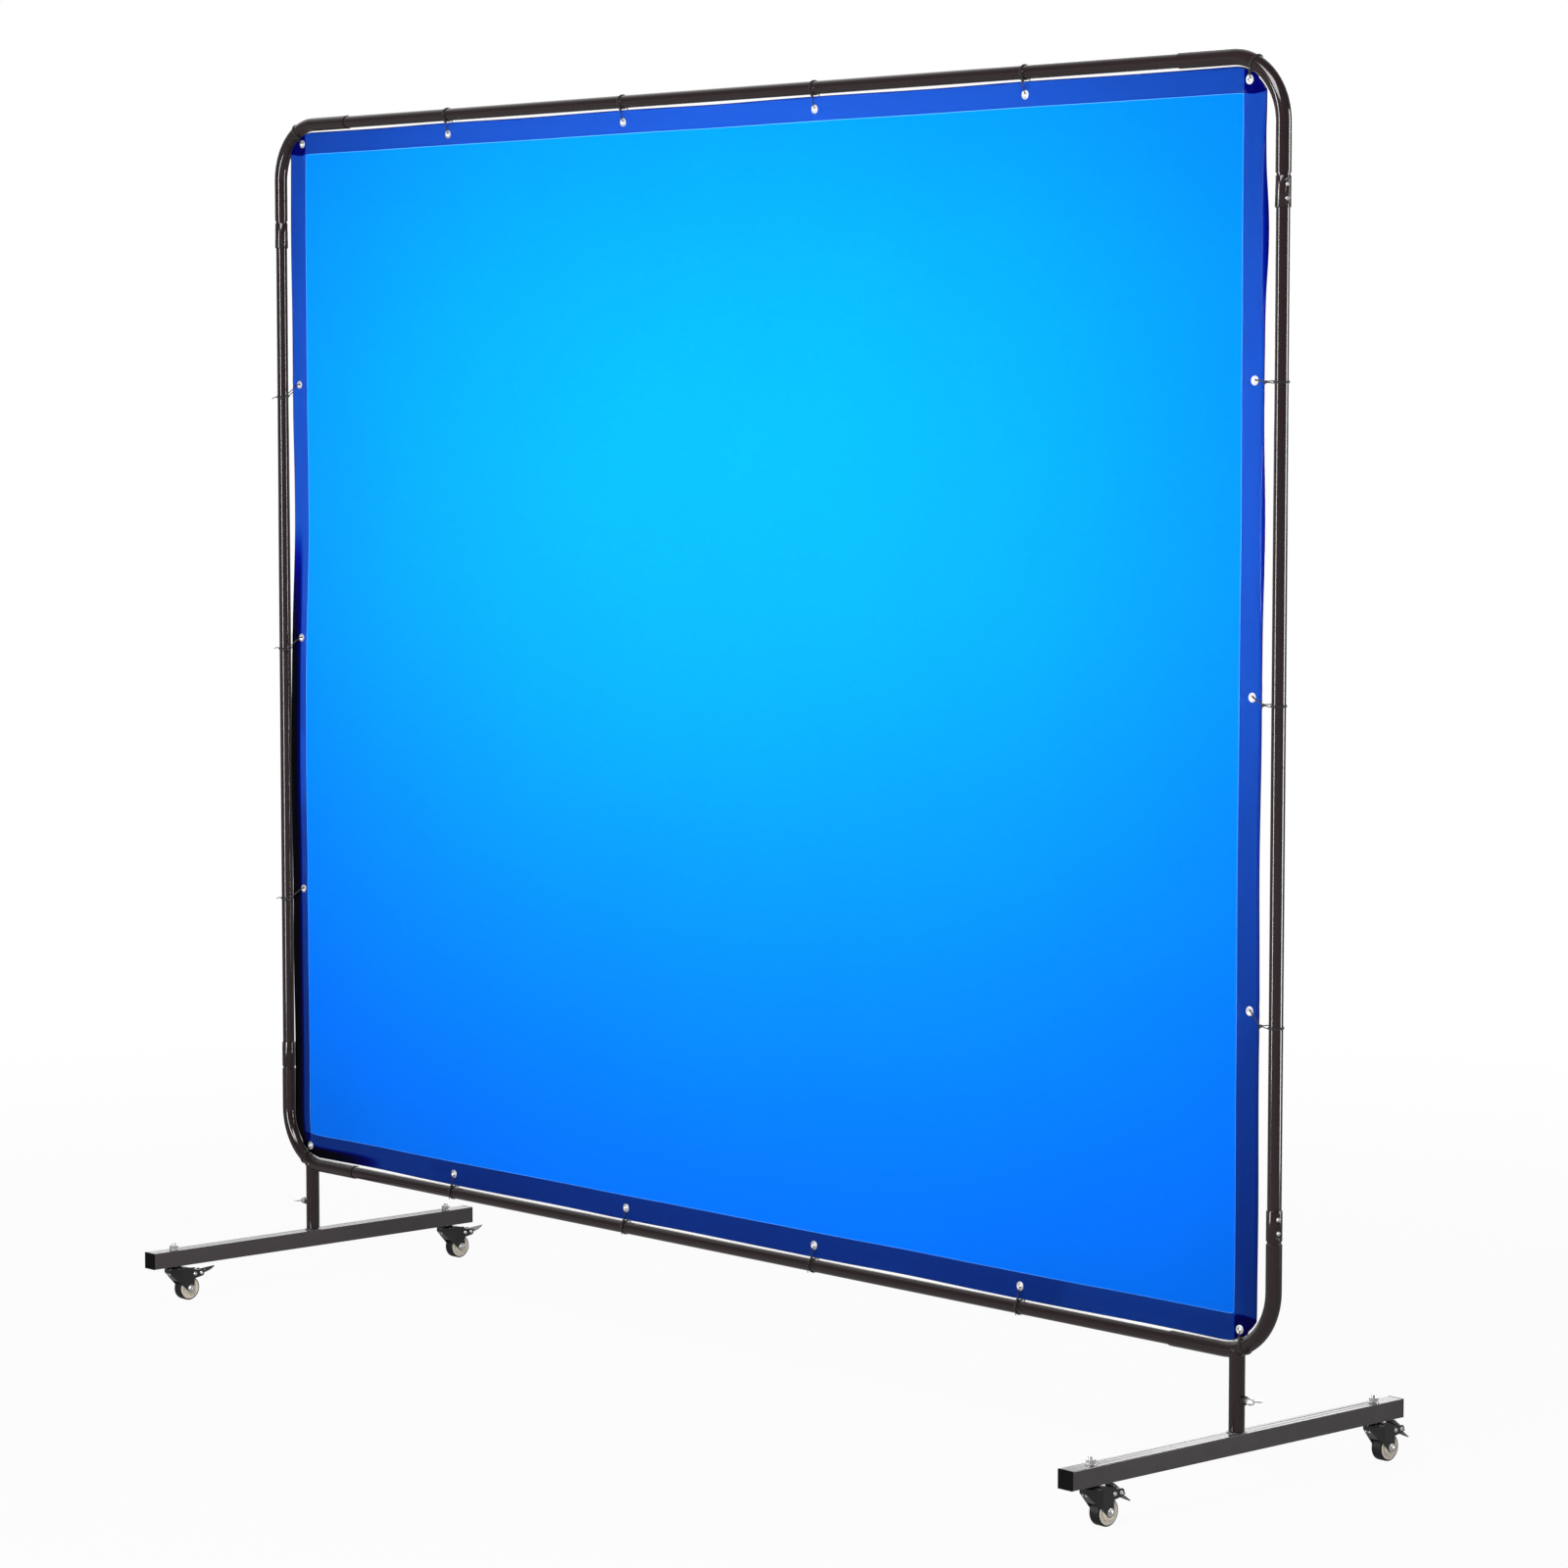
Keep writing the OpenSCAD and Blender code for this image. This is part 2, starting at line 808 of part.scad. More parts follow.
// Moulded wheel centre with a raised cream ring round a sunk web
module rim(side, end) {
    half = wheel_w / 2;
    ring = 4.8;
    bulge = 0.8;
    color(CREAM)
        to_caster(side, end)
            translate([0, axle_at[0], axle_at[1]])
                rotate([0, 90, 0])
                    rotate_extrude() {
                        translate([axle_r + fit, -half - bulge])
                            square([4, wheel_w + 2 * bulge]);
                        translate([axle_r + fit + 3, -half + 3])
                            square([rim_r - axle_r - 6, wheel_w - 6]);
                        translate([rim_r - ring, -half - bulge / 2])
                            square([ring, wheel_w + bulge]);
                    }
}

module tyre(side, end) {
    half = wheel_w / 2;
    shoulder = 2.4;
    color(BLACK)
        to_caster(side, end)
            translate([0, axle_at[0], axle_at[1]])
                rotate([0, 90, 0])
                    rotate_extrude()
                        intersection() {
                            translate([rim_r + seat, -half])
                                square([wheel_r, wheel_w]);
                            union() {
                                translate([0, -half])
                                    square([wheel_r - shoulder, wheel_w]);
                                translate([0, -half + shoulder])
                                    square([wheel_r, wheel_w - 2 * shoulder]);
                                for (x = [-half + shoulder, half - shoulder])
                                    translate([wheel_r - shoulder, x])
                                        circle(r = shoulder);
                            }
                        }
}

// Pointed tread of a brake pedal, seen from above: two arcs that meet at its tip
module tread_outline(half, length) {
    arc_r = (half * half + length * length) / 2 / half;
    intersection() {
        translate([half - arc_r, 0])
            circle(r = arc_r, $fn = 160);
        translate([arc_r - half, 0])
            circle(r = arc_r, $fn = 160);
        translate([-half, 0])
            square([2 * half, length]);
    }
}

// Brake pedal drawn level, its pivot at the origin and its ridged tread towards
// +Y. It is a rocker: the tab in front of the pivot releases the brake
module pedal_blank() {
    ear_in = 9.6;
    ear_t = 1.5;
    half = ear_in + ear_t;
    plate_z = 3.1;
    plate_t = 1.6;
    tab = 20;
    reach = 39;
    wide = half + 1;
    fall = 5.5;         // drop of the tread's flanks below its ridge
    difference() {
        union() {
            for (x = [-half, ear_in])
                side_plate(x, ear_t) {
                    circle(r = 4.6);
                    polygon([[-tab, plate_z], [-4, -2.2], [4, -2.2], [12, plate_z], [12, 4], [-tab, 4]]);
                }
            translate([-half, -tab, plate_z])
                cube([2 * half, tab + 0.5, plate_t]);
            intersection() {
                translate([0, 0, plate_z - fall - 1])
                    linear_extrude(height = fall + plate_t + 1.5)
                        tread_outline(half, reach);
                translate([0, reach, plate_z])
                    rotate([90, 0, 0])
                        linear_extrude(height = reach)
                            polygon([
                                [0, plate_t], [wide, plate_t - fall], [wide, -fall],
                                [0, 0], [-wide, -fall], [-wide, plate_t - fall]
                            ]);
            }
        }
        cross_bar([0, 0], rivet_r + fit, half + eps);
    }
}

module pedal(side, end, slope) {
    color(BLACK)
        to_caster(side, end)
            translate([0, pedal_at[0], pedal_at[1]])
                rotate([slope, 0, 0])
                    pedal_blank();
}

// ---------- one call for each sub-part ----------

rail(1);  // top_rail
rail(-1);  // bottom_rail
upright(-1);  // upright_left
upright(1);  // upright_right
corner_rail_half(-1, 1);  // corner_top_left_rail
corner_side_half(-1, 1);  // corner_top_left_side
corner_rail_half(1, 1);  // corner_top_right_rail
corner_side_half(1, 1);  // corner_top_right_side
corner_rail_half(-1, -1);  // corner_bottom_left_rail
corner_side_half(-1, -1);  // corner_bottom_left_side
corner_rail_half(1, -1);  // corner_bottom_right_rail
corner_side_half(1, -1);  // corner_bottom_right_side
joint_collars();
collar_screws();
curtain_sheet();
curtain_hem();
eyelets();
curtain_ties();
leg(-1);  // leg_left
leg(1);  // leg_right
leg_nuts();
wing_bolt(-1);  // wing_bolt_left
wing_bolt(1);  // wing_bolt_right
foot_beam(-1);  // foot_beam_left
foot_beam(1);  // foot_beam_right
foot_spigot(-1);  // foot_spigot_left
foot_spigot(1);  // foot_spigot_right
end_plugs(-1);  // end_plugs_left
end_plugs(1);  // end_plugs_right
caster_stems(-1);  // caster_stems_left
caster_stems(1);  // caster_stems_right
stem_nuts(-1);  // stem_nuts_left
stem_nuts(1);  // stem_nuts_right
upper_races(-1);  // upper_races_left
upper_races(1);  // upper_races_right
fork(-1, -1);  // fork_front_left
fork(-1, 1);  // fork_rear_left
fork(1, -1);  // fork_front_right
fork(1, 1);  // fork_rear_right
rivets(-1, -1);  // rivets_front_left
rivets(-1, 1);  // rivets_rear_left
rivets(1, -1);  // rivets_front_right
rivets(1, 1);  // rivets_rear_right
axle(-1, -1);  // axle_front_left
axle(-1, 1);  // axle_rear_left
axle(1, -1);  // axle_front_right
axle(1, 1);  // axle_rear_right
rim(-1, -1);  // rim_front_left
rim(-1, 1);  // rim_rear_left
rim(1, -1);  // rim_front_right
rim(1, 1);  // rim_rear_right
tyre(-1, -1);  // tyre_front_left
tyre(-1, 1);  // tyre_rear_left
tyre(1, -1);  // tyre_front_right
tyre(1, 1);  // tyre_rear_right
pedal(-1, -1, pedal_up);  // pedal_front_left
pedal(-1, 1, pedal_up);  // pedal_rear_left
pedal(1, -1, pedal_down);  // pedal_front_right
pedal(1, 1, pedal_down);  // pedal_rear_right
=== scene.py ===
"""Looks of a welding curtain screen: vinyl, cords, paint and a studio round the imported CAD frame."""
import math
import random

import bpy
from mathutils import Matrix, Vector, noise


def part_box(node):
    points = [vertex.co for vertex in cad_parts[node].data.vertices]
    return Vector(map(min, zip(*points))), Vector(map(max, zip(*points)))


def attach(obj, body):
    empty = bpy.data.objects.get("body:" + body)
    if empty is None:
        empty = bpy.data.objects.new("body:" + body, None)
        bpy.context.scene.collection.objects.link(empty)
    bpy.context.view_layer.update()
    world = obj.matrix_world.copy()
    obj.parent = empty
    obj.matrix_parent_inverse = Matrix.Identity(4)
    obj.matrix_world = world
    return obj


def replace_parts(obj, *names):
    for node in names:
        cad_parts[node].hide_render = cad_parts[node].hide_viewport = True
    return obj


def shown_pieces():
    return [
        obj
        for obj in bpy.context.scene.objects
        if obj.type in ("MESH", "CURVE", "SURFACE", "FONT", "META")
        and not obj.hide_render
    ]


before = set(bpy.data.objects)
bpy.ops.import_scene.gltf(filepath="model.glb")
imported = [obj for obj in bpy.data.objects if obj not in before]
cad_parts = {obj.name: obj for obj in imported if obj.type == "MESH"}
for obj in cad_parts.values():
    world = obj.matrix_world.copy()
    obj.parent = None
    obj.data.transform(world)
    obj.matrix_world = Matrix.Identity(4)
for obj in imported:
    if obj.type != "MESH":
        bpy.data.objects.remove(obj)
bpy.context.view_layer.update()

MM = 0.001
SIDES = ("left", "right")
BEND_R = 102 * MM           # centreline radius of the frame's bent corners
EYELET_SPAN = 20 * MM       # two vertices closer than this belong to the same eyelet
CAMERA_PLACE = Vector((5.903, -5.216, 1.669))
CAMERA_AZIMUTH = math.radians(47.79)
CAMERA_ELEVATION = math.radians(4.71)
LENS = 106.65               # mm on the sensor below
SENSOR = 36

random.seed(11)


# ---------- places read from the frame ----------

def middle(node):
    low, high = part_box(node)
    return (low + high) / 2


def islands(node, span):
    """Middle of each separate solid of a CAD node whose solids lie further apart than span."""
    groups = []
    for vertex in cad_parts[node].data.vertices:
        for group in groups:
            if (vertex.co - group[0]).length < span:
                group.append(vertex.co.copy())
                break
        else:
            groups.append([vertex.co.copy()])
    middles = []
    for group in groups:
        low = Vector([min(p[i] for p in group) for i in range(3)])
        high = Vector([max(p[i] for p in group) for i in range(3)])
        middles.append((low + high) / 2)
    return middles


SHEET_LOW, SHEET_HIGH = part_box("curtain_sheet")
SHEET_MIDDLE = (SHEET_LOW + SHEET_HIGH) / 2
HALF_W = (SHEET_HIGH.x - SHEET_LOW.x) / 2
HALF_H = (SHEET_HIGH.z - SHEET_LOW.z) / 2
RAIL_TOP = middle("top_rail").z
RAIL_BOTTOM = middle("bottom_rail").z
UPRIGHT_X = middle("upright_right").x
TUBE_R = (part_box("top_rail")[1].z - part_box("top_rail")[0].z) / 2
CORNER_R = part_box("corner_top_right_side")[1].x - UPRIGHT_X
BEND_X = UPRIGHT_X - BEND_R
BEND_TOP = RAIL_TOP - BEND_R
BEND_BOTTOM = RAIL_BOTTOM + BEND_R
EYELETS = islands("eyelets", EYELET_SPAN)


# ---------- mesh helpers ----------

class Shape:
    """Vertices and faces collected for one piece."""

    def __init__(self):
        self.verts = []
        self.faces = []

    def add(self, verts, faces):
        base = len(self.verts)
        self.verts += [Vector(v) for v in verts]
        self.faces += [tuple(base + i for i in face) for face in faces]

    def place(self, name, material):
        """An object in the scene with the collected mesh."""
        mesh = bpy.data.meshes.new(name)
        mesh.from_pydata([tuple(v) for v in self.verts], [], self.faces)
        mesh.validate()
        mesh.shade_smooth()
        mesh.materials.append(material)
        obj = bpy.data.objects.new(name, mesh)
        bpy.context.scene.collection.objects.link(obj)
        return obj

    def piece(self, name, finish, body, slot=None):
        """A piece of the visual model that rides a body. The slot argument is not used."""
        obj = self.place(name, FINISH[finish])
        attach(obj, body)
        return obj


def round_places(steps):
    """Angles of equal steps round a full turn."""
    return [2 * math.pi * k / steps for k in range(steps)]


def label(obj, name, values):
    """A number at every vertex, for the material to read."""
    obj.data.attributes.new(name, "FLOAT", "POINT").data.foreach_set("value", values)


def smooth_path(points, steps=4, closed=False):
    """Catmull-Rom curve through the points."""
    points = [Vector(p) for p in points]
    count = len(points)
    out = []
    for i in range(count if closed else count - 1):
        if closed:
            a, b, c, d = (points[(i + k) % count] for k in (-1, 0, 1, 2))
        else:
            a, b, c, d = (points[min(max(i + k, 0), count - 1)] for k in (-1, 0, 1, 2))
        for s in range(steps):
            t = s / steps
            out.append(0.5 * ((2 * b) + (c - a) * t + (2 * a - 5 * b + 4 * c - d) * t * t
                              + (3 * b - a - 3 * c + d) * t ** 3))
    if not closed:
        out.append(points[-1])
    return out


def sweep(path, radius, sides=8, closed=False):
    """Round bar along a path: radius is a length or a function of the share of the path."""
    size = radius if callable(radius) else lambda share: radius
    count = len(path)
    tangents = []
    for i in range(count):
        before = path[(i - 1) % count] if closed or i else path[0]
        after = path[(i + 1) % count] if closed or i < count - 1 else path[-1]
        tangents.append((after - before).normalized())
    normal = tangents[0].orthogonal().normalized()
    verts = []
    for i, (point, tangent) in enumerate(zip(path, tangents)):
        normal = (normal - tangent * normal.dot(tangent)).normalized()
        across = tangent.cross(normal)
        r = size(i / (count - 1))
        verts += [point + (normal * math.cos(a) + across * math.sin(a)) * r
                  for a in round_places(sides)]
    faces = []
    for i in range(count if closed else count - 1):
        j = (i + 1) % count
        for k in range(sides):
            m = (k + 1) % sides
            faces.append((i * sides + k, i * sides + m, j * sides + m, j * sides + k))
    if not closed:
        faces.append(tuple(reversed(range(sides))))
        faces.append(tuple((count - 1) * sides + k for k in range(sides)))
    return verts, faces


def revolve(profile, origin, axis, steps):
    """Ring: a closed loop of (radius, height) points turned about an axis."""
    axis = Vector(axis).normalized()
    u = axis.orthogonal().normalized()
    v = axis.cross(u)
    verts = []
    for a in round_places(steps):
        out = u * math.cos(a) + v * math.sin(a)
        verts += [origin + out * r + axis * h for r, h in profile]
    n = len(profile)
    faces = []
    for k in range(steps):
        m = (k + 1) % steps
        for i in range(n):
            j = (i + 1) % n
            faces.append((k * n + i, m * n + i, m * n + j, k * n + j))
    return verts, faces


# ---------- materials ----------

class Nodes:
    """Node tree of a material or world: add(kind, Input=value or socket) returns the node's first
    output. An input is named by its label, with _ for a space, or by its number, as in0."""

    def __init__(self, owner):
        self.owner = owner
        owner.use_nodes = True
        self.tree = owner.node_tree
        self.tree.nodes.clear()

    def node(self, kind, settings=None, **inputs):
        made = self.tree.nodes.new("ShaderNode" + kind)
        for key, value in (settings or {}).items():
            setattr(made, key, value)
        for key, value in inputs.items():
            place = int(key[2:]) if key.startswith("in") else key.replace("_", " ")
            socket = made.inputs[place]
            if isinstance(value, bpy.types.NodeSocket):
                self.tree.links.new(value, socket)
            else:
                socket.default_value = value
        return made

    def add(self, kind, settings=None, **inputs):
        return self.node(kind, settings, **inputs).outputs[0]

    def maths(self, operation, a, b=0.0):
        return self.add("Math", {"operation": operation}, in0=a, in1=b)

    def mix(self, share, a, b):
        made = self.node("Mix", {"data_type": "RGBA"}, in0=share, in6=a, in7=b)
        return made.outputs[2]

    def scale(self, share, low, high):
        """A 0..1 value spread over low..high."""
        return self.add("MapRange", None, Value=share, To_Min=low, To_Max=high)

    def noise(self, scale, detail=3.0, vector=None):
        place = vector or self.node("TexCoord").outputs["Object"]
        return self.add("TexNoise", None, Vector=place, Scale=scale, Detail=detail, Roughness=0.55)

    def bump(self, height, strength, distance):
        return self.add("Bump", None, Height=height, Strength=strength, Distance=distance)

    def finish(self, shader, output="OutputMaterial"):
        self.node(output, None, Surface=shader)
        return self.owner


def material_nodes(name):
    return Nodes(bpy.data.materials.new(name))


WHITE = (1.0, 1.0, 1.0, 1.0)


def tone(colour, factor):
    return (colour[0] * factor, colour[1] * factor, colour[2] * factor, 1.0)


def paint(name, colour, roughness, grain=900, coat=0.0, metallic=0.0, specular=0.5):
    """Powder coat or moulded plastic: mottled colour, orange-peel bump and uneven gloss."""
    n = material_nodes(name)
    patches = n.noise(14, 4)
    speckle = n.noise(grain * 0.6, 2)
    base = n.mix(patches, tone(colour, 0.75), tone(colour, 1.3))
    base = n.mix(n.scale(speckle, 0.0, 0.35), base, tone(colour, 1.8))
    dull = n.scale(n.noise(40, 3), roughness * 0.8, roughness * 1.25)
    peel = n.bump(n.noise(grain, 2), 0.25, 0.2 * MM)
    shader = n.add("BsdfPrincipled", None, Base_Color=base, Metallic=metallic, Roughness=dull,
                   Specular_IOR_Level=specular, Normal=peel, Coat_Weight=coat,
                   Coat_Roughness=roughness * 0.5)
    return n.finish(shader)


def plated(name, colour, roughness):
    """Zinc plate: clouded metal with fine drawn scratches."""
    n = material_nodes(name)
    place = n.node("TexCoord").outputs["Object"]
    clouds = n.noise(180, 4)
    scratches = n.noise(1500, 2, vector=n.add("Mapping", None, Vector=place, Scale=(1.0, 0.15, 1.0)))
    base = n.mix(clouds, tone(colour, 0.82), tone(colour, 1.1))
    dull = n.scale(clouds, roughness * 0.7, roughness * 1.3)
    shader = n.add("BsdfPrincipled", None, Base_Color=base, Metallic=0.75, Roughness=dull,
                   Normal=n.bump(scratches, 0.3, 0.1 * MM))
    return n.finish(shader)


def rubber(name, colour):
    """Wheel tread: matt, slightly dusty, with a fine grain."""
    n = material_nodes(name)
    dust = n.noise(60, 5)
    base = n.mix(n.scale(dust, 0.0, 0.5), tone(colour, 1.0), tone(colour, 2.6))
    shader = n.add("BsdfPrincipled", None, Base_Color=base, Roughness=n.scale(dust, 0.42, 0.62),
                   Normal=n.bump(n.noise(1800, 2), 0.35, 0.1 * MM))
    return n.finish(shader)


def cord(name, colour):
    """Braided cord: a fine diagonal weave."""
    n = material_nodes(name)
    place = n.node("TexCoord").outputs["Object"]
    turned = n.add("Mapping", None, Vector=place, Rotation=(0.6, 0.7, 0.4))
    weave = n.node("TexWave", {"wave_type": "BANDS"}, Vector=turned, Scale=420.0,
                   Distortion=2.0).outputs[1]
    base = n.mix(weave, tone(colour, 0.6), tone(colour, 2.2))
    shader = n.add("BsdfPrincipled", None, Base_Color=base, Roughness=0.6, Sheen_Weight=0.3,
                   Normal=n.bump(weave, 0.6, 0.3 * MM))
    return n.finish(shader)


# Painted highlight and painted shade lines along the edge of the weld on the vinyl, by their distance
# into the hem
WELD_PAINTED_HIGHLIGHT = (-0.6 * MM, 0.5 * MM)     # middle and half width
WELD_PAINTED_SHADE = (0.8 * MM, 0.7 * MM)
WELD_WIDTH = 6 * MM                     # ribbed band left by the welding tool


def vinyl(name, tint, hem_tint, shade=None, gloss=0.22, haze=0.85):
    """Clear coloured film. It lets light through in proportion to its tint, spreads a share of it
    (haze) and shines (gloss). The 'film' attribute counts the extra layers that a fold adds and
    the extra layers of painted shade, and 'weld' gives the distance into the welded hem, where the
    film takes its second tint and a painted highlight line and a painted shade line run along the
    weld's edge. Light that falls through it on other pieces takes the colour shade."""
    n = material_nodes(name)
    layers_and_painted_shade = n.node("Attribute", {"attribute_name": "film"}).outputs["Fac"]
    weld = n.node("Attribute", {"attribute_name": "weld"}).outputs["Fac"]

    def line(centre, half_width):
        gap = n.maths("ABSOLUTE", n.maths("SUBTRACT", weld, centre))
        return n.maths("LESS_THAN", gap, half_width)

    # colour: tint by layers (painted shade among them), streaks, and a painted highlight line and a
    # painted shade line along the weld's edge
    layers = n.maths("ADD", layers_and_painted_shade, 1.0)
    in_hem = n.maths("GREATER_THAN", weld, 0.0)
    channels = [n.maths("POWER", n.scale(in_hem, clear, doubled), layers)
                for clear, doubled in zip(tint, hem_tint)]
    colour = n.add("CombineColor", None, Red=channels[0], Green=channels[1], Blue=channels[2])
    colour = n.mix(n.scale(n.noise(2.5, 3), 0.0, 0.10), colour, (0.0, 0.02, 0.10, 1.0))
    # painted highlight: a light line just outside the weld's edge
    colour = n.mix(n.maths("MULTIPLY", line(*WELD_PAINTED_HIGHLIGHT), 0.18), colour, (0.45, 0.80, 1.0, 1.0))
    # painted shade: a dark line just inside the weld's edge
    colour = n.mix(n.maths("MULTIPLY", line(*WELD_PAINTED_SHADE), 0.35), colour, (0.0, 0.01, 0.15, 1.0))
    # surface: slight unevenness, and ribs in the weld
    ribs = n.node("TexWave", {"wave_type": "BANDS", "bands_direction": "DIAGONAL"},
                  Scale=260.0).outputs[1]
    in_weld = n.maths("MULTIPLY", in_hem, n.maths("LESS_THAN", weld, WELD_WIDTH))
    ribbed = n.maths("MULTIPLY", ribs, n.maths("MULTIPLY", in_weld, 0.35))
    normal = n.bump(n.maths("ADD", n.noise(45, 4), ribbed), 0.25, 0.4 * MM)
    # film: clear and hazy light through it, under a shine
    clear = n.add("BsdfTransparent", None, Color=colour)
    spread = n.add("BsdfTranslucent", None, Color=colour, Normal=normal)
    film = n.add("MixShader", None, in0=haze, in1=clear, in2=spread)
    shine = n.add("BsdfGlossy", None, Color=WHITE, Roughness=0.09, Normal=normal)
    edge = n.node("Fresnel", None, IOR=1.4, Normal=normal).outputs[0]
    coated = n.add("MixShader", None, in0=n.maths("MULTIPLY", edge, gloss), in1=film, in2=shine)
    # light on its way to other pieces
    rays = n.node("LightPath").outputs
    through = n.add("BsdfTransparent", None, Color=shade or colour)
    filtered = n.add("MixShader", None, in0=rays["Is Shadow Ray"], in1=coated, in2=through)
    bounced = n.maths("MAXIMUM", rays["Is Diffuse Ray"], rays["Is Glossy Ray"])
    plain = n.add("BsdfTransparent", None, Color=(0.85, 0.85, 0.85, 1.0))
    return n.finish(n.add("MixShader", None, in0=bounced, in1=filtered, in2=plain))


FINISH = {
    "frame_black": paint("frame_black", (0.021, 0.012, 0.013), 0.14, coat=0.6),
    "beam_black": paint("beam_black", (0.060, 0.048, 0.052), 0.30, grain=1100, coat=1.0),
    "plug_black": paint("plug_black", (0.003, 0.003, 0.003), 0.7, grain=1500, specular=0.12),
    "caster_black": paint("caster_black", (0.010, 0.008, 0.009), 0.24, coat=0.9),
    "pedal": paint("pedal", (0.22, 0.21, 0.215), 0.26, grain=1300, metallic=0.5, coat=0.4),
    "zinc": plated("zinc", (0.90, 0.90, 0.91), 0.32),
    "rim_cream": paint("rim_cream", (0.92, 0.84, 0.72), 0.30, grain=1400, coat=0.4),
    "tyre_black": rubber("tyre_black", (0.006, 0.005, 0.005)),
    "tie_black": cord("tie_black", (0.008, 0.008, 0.009)),
    "eyelet": plated("eyelet", (0.95, 0.95, 0.96), 0.42),
    "vinyl": vinyl("vinyl", (0.001, 0.205, 1.0), (0.02, 0.13, 0.72), shade=(0.72, 0.76, 0.80, 1.0)),
    "vinyl_hem": vinyl("vinyl_hem", (0.05, 0.036, 0.36), (0.05, 0.036, 0.36)),
}

# CAD nodes by the start of their names, and their finish
CAD_FINISH = (
    ("top_rail bottom_rail upright corner joint_collars leg foot_spigot", "frame_black"),
    ("foot_beam", "beam_black"),
    ("end_plugs", "plug_black"),
    ("fork upper_races", "caster_black"),
    ("pedal", "pedal"),
    ("collar_screws wing_bolt caster_stems stem_nuts rivets axle eyelets", "zinc"),
    ("rim", "rim_cream"),
    ("tyre", "tyre_black"),
    ("curtain_sheet", "vinyl"),
    ("curtain_hem", "vinyl_hem"),
    ("curtain_ties", "tie_black"),
)
# CAD nodes whose edges are rounded, with the width of the rounding and its steps
ROUNDED = (
    ("foot_beam", 1.2 * MM, 3),
    ("fork", 0.9 * MM, 3),
    ("pedal rim", 0.5 * MM, 3),
    ("end_plugs stem_nuts leg_nuts upper_races wing_bolt rivets caster_stems joint_collars "
     "collar_screws foot_spigot axle", 0.35 * MM, 2),
)


def finish_cad_nodes():
    """Finishes on the CAD nodes, and small round edges on the machined and moulded ones."""
    for name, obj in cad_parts.items():
        for starts, finish in CAD_FINISH:
            if name.startswith(tuple(starts.split())):
                obj.data.materials.clear()
                obj.data.materials.append(FINISH[finish])
        for starts, width, segments in ROUNDED:
            if name.startswith(tuple(starts.split())):
                weld = obj.modifiers.new("weld", "WELD")
                weld.merge_threshold = 0.01 * MM
                bevel = obj.modifiers.new("bevel", "BEVEL")
                bevel.width = width
                bevel.segments = segments
                bevel.limit_method = "ANGLE"
                bevel.angle_limit = math.radians(40)
                bevel.use_clamp_overlap = True
                bevel.harden_normals = True


# ---------- curtain ----------

HEM = {"left": 44 * MM, "right": 47 * MM, "top": 39 * MM, "bottom": 42 * MM}
THICK = 0.8 * MM
HEM_GAP = 0.95 * MM         # the hem's film lies this far behind the sheet's
FOLD_BACK = 0.45 * MM       # and the middle of the fold this far
FOLD_R = 0.9 * MM
HOLE_R = 5.7 * MM           # the film is open to this distance from an eyelet's middle
EDGE_BAND = 40 * MM         # a corner or side eyelet lies within this distance of the side edge
CORNER_REACH = BEND_R - CORNER_R - 1.5 * MM     # the corners stay inside the bent tubes
CORNER_PULL = 13 * MM       # the film at a corner eyelet is drawn in by this, both ways

# Relief of the hung film
EDGE_SAG = 1.2 * MM         # top and bottom edges are drawn in between the eyelets
BILLOW = 7 * MM             # one bulge over the whole sheet
SWAY = 3 * MM               # slower, uneven bulges on top of it
TOP_WAVE = 2.4 * MM         # waves between the eyelets of the top and bottom
SIDE_WAVE = 2.6 * MM        # and of the sides
WAVE_DEPTH = 70 * MM        # the waves die out this far into the sheet
CREASE = 0.55 * MM          # small creases that radiate from each eyelet
CALM = 26 * MM              # the film lies flat this close to an eyelet
NEARBY = 0.25               # m: eyelets further away than this leave the film alone
UNEVEN = 0.5 * MM

# Side edges
CURL_FROM = 11 * MM         # they start to turn this far from the edge
CURL_R = 11 * MM
FULL_CURL = 10 * MM         # a curl this long is fully turned
BEHIND = 3 * MM             # the left edge lies this far back, behind its tube


def grid_lines(half, hems, marks):
    """Grid lines across the sheet: fine near its edges and eyelets, coarse between them."""
    fine = {round(m + k * 2 * MM, 5) for m in marks for k in range(-5, 6)}
    edges = {round(s * (half - k * 4 * MM), 5) for s in (-1, 1) for k in range(16)}
    medium = {round(m + k * 5 * MM, 5) for m in marks for k in range(-9, 10)}
    steps = int(2 * half / (14 * MM))
    coarse = {round(-half + 2 * half * k / steps, 5) for k in range(steps + 1)}
    kept = sorted({-half, half, hems[0] - half, half - hems[1]})
    # each group fills the gaps that those before it leave
    for group, gap in ((fine, 1.2 * MM), (edges, 2.5 * MM), (medium, 3.5 * MM), (coarse, 9 * MM)):
        for value in sorted(group):
            if abs(value) < half and all(abs(value - other) > gap for other in kept):
                kept.append(value)
        kept.sort()
    return kept


def side_of(value):
    return 1 if value > 0 else -1


def smooth(share):
    share = min(1.0, max(0.0, share))
    return share * share * (3 - 2 * share)


def ripple(along, marks):
    """0 at every eyelet along an edge and 1 halfway between two of them."""
    for a, b in zip(marks, marks[1:]):
        if a <= along <= b:
            return math.sin(math.pi * (along - a) / (b - a)) ** 2
    return 0.0


# Places of the eyelets, measured from the middle of the sheet
EYELET_PLACES = [(e.x, e.z - SHEET_MIDDLE.z) for e in EYELETS]
ROW_MARKS = sorted({round(e.x, 4) for e in EYELETS if abs(e.x) < HALF_W - EDGE_BAND})
TOP_MARKS = [-HALF_W] + ROW_MARKS + [HALF_W]
SIDE_MARKS = sorted({round(e.z - SHEET_MIDDLE.z, 4) for e in EYELETS})


